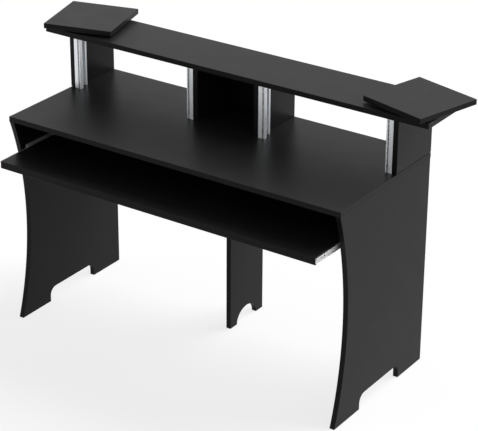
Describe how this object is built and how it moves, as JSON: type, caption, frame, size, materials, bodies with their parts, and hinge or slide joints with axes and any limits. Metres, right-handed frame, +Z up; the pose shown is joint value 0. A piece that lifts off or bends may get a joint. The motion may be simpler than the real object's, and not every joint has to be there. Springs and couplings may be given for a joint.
{
  "type": "studio desk",
  "caption": "Studio desk with a bridge shelf over two open rack bays and a middle compartment, swivelling speaker plates and a keyboard tray on ball runners.",
  "frame": {"origin": "on the floor, in the middle of the footprint from the tray's front edge to the rear corners of the speaker plates", "axes": "+X to the right of the seated user, +Y from the seat to the back of the desk, +Z up"},
  "size_m": [1.6038, 0.6918, 0.979],
  "materials": {
    "board": "black melamine with a fine matte grain, edges banded in the same black",
    "aluminium": "extruded, clear anodised, satin",
    "zinc": "bright zinc plated sheet and screws",
    "steel": "plain steel, lightly oiled"
  },
  "bodies": {
    "desk": {"bridge_shelf": "board", "centre_leg": "board", "compartment_back": "board", "left_cabinet_member": "zinc", "left_cabinet_screw_1": "zinc", "left_cabinet_screw_2": "zinc", "left_inner_rail": "aluminium", "left_inner_rail_screw_1": "zinc", "left_inner_rail_screw_2": "zinc", "left_inner_riser": "board", "left_inner_threaded_strip": "steel", "left_outer_rail": "aluminium", "left_outer_rail_screw_1": "zinc", "left_outer_rail_screw_2": "zinc", "left_outer_riser": "board", "left_outer_threaded_strip": "steel", "left_rear_stretcher": "board", "left_side_panel": "board", "left_swivel_base": "zinc", "right_cabinet_member": "zinc", "right_cabinet_screw_1": "zinc", "right_cabinet_screw_2": "zinc", "right_inner_rail": "aluminium", "right_inner_rail_screw_1": "zinc", "right_inner_rail_screw_2": "zinc", "right_inner_riser": "board", "right_inner_threaded_strip": "steel", "right_outer_rail": "aluminium", "right_outer_rail_screw_1": "zinc", "right_outer_rail_screw_2": "zinc", "right_outer_riser": "board", "right_outer_threaded_strip": "steel", "right_rear_stretcher": "board", "right_side_panel": "board", "right_swivel_base": "zinc", "worktop": "board"},
    "runner_middles": {"left_middle_member": "zinc", "right_middle_member": "zinc"},
    "tray": {"keyboard_tray": "board", "left_tray_member": "zinc", "right_tray_member": "zinc", "left_tray_screw_1": "zinc", "left_tray_screw_2": "zinc", "right_tray_screw_1": "zinc", "right_tray_screw_2": "zinc"},
    "outer_ball_retainers": {"left_outer_ball_retainer": "steel", "right_outer_ball_retainer": "steel"},
    "inner_ball_retainers": {"left_inner_ball_retainer": "steel", "right_inner_ball_retainer": "steel"},
    "left_plate": {"left_speaker_plate": "board", "left_swivel_top": "zinc"},
    "right_plate": {"right_speaker_plate": "board", "right_swivel_top": "zinc"},
    "left_ball_ring": {"left_swivel_ball_ring": "steel"},
    "right_ball_ring": {"right_swivel_ball_ring": "steel"}
  },
  "joints": [
    {"name": "middle_slide", "type": "slide", "parent": "desk", "child": "runner_middles", "axis": [0, -1, 0], "range_m": [0, 0.085]},
    {"name": "tray_slide", "type": "slide", "parent": "runner_middles", "child": "tray", "axis": [0, -1, 0], "range_m": [-0.142, 0.025]},
    {"name": "outer_retainer_slide", "type": "slide", "parent": "desk", "child": "outer_ball_retainers", "axis": [0, -1, 0], "range_m": [0, 0.0425]},
    {"name": "inner_retainer_slide", "type": "slide", "parent": "runner_middles", "child": "inner_ball_retainers", "axis": [0, -1, 0], "range_m": [-0.071, 0.0125]},
    {"name": "left_plate_turn", "type": "hinge", "parent": "desk", "child": "left_plate", "pos_m": [-0.65, 0.19406, 0.956], "axis": [0, 0, 1], "continuous": true},
    {"name": "left_ball_ring_turn", "type": "hinge", "parent": "desk", "child": "left_ball_ring", "pos_m": [-0.65, 0.19406, 0.956], "axis": [0, 0, 1], "continuous": true},
    {"name": "right_plate_turn", "type": "hinge", "parent": "desk", "child": "right_plate", "pos_m": [0.65, 0.19406, 0.956], "axis": [0, 0, 1], "continuous": true},
    {"name": "right_ball_ring_turn", "type": "hinge", "parent": "desk", "child": "right_ball_ring", "pos_m": [0.65, 0.19406, 0.956], "axis": [0, 0, 1], "continuous": true}
  ],
  "couplings": [
    {"joint": "outer_retainer_slide", "follows": "middle_slide", "ratio": 0.5},
    {"joint": "inner_retainer_slide", "follows": "tray_slide", "ratio": 0.5},
    {"joint": "left_ball_ring_turn", "follows": "left_plate_turn", "ratio": 0.5},
    {"joint": "right_ball_ring_turn", "follows": "right_plate_turn", "ratio": 0.5}
  ]
}
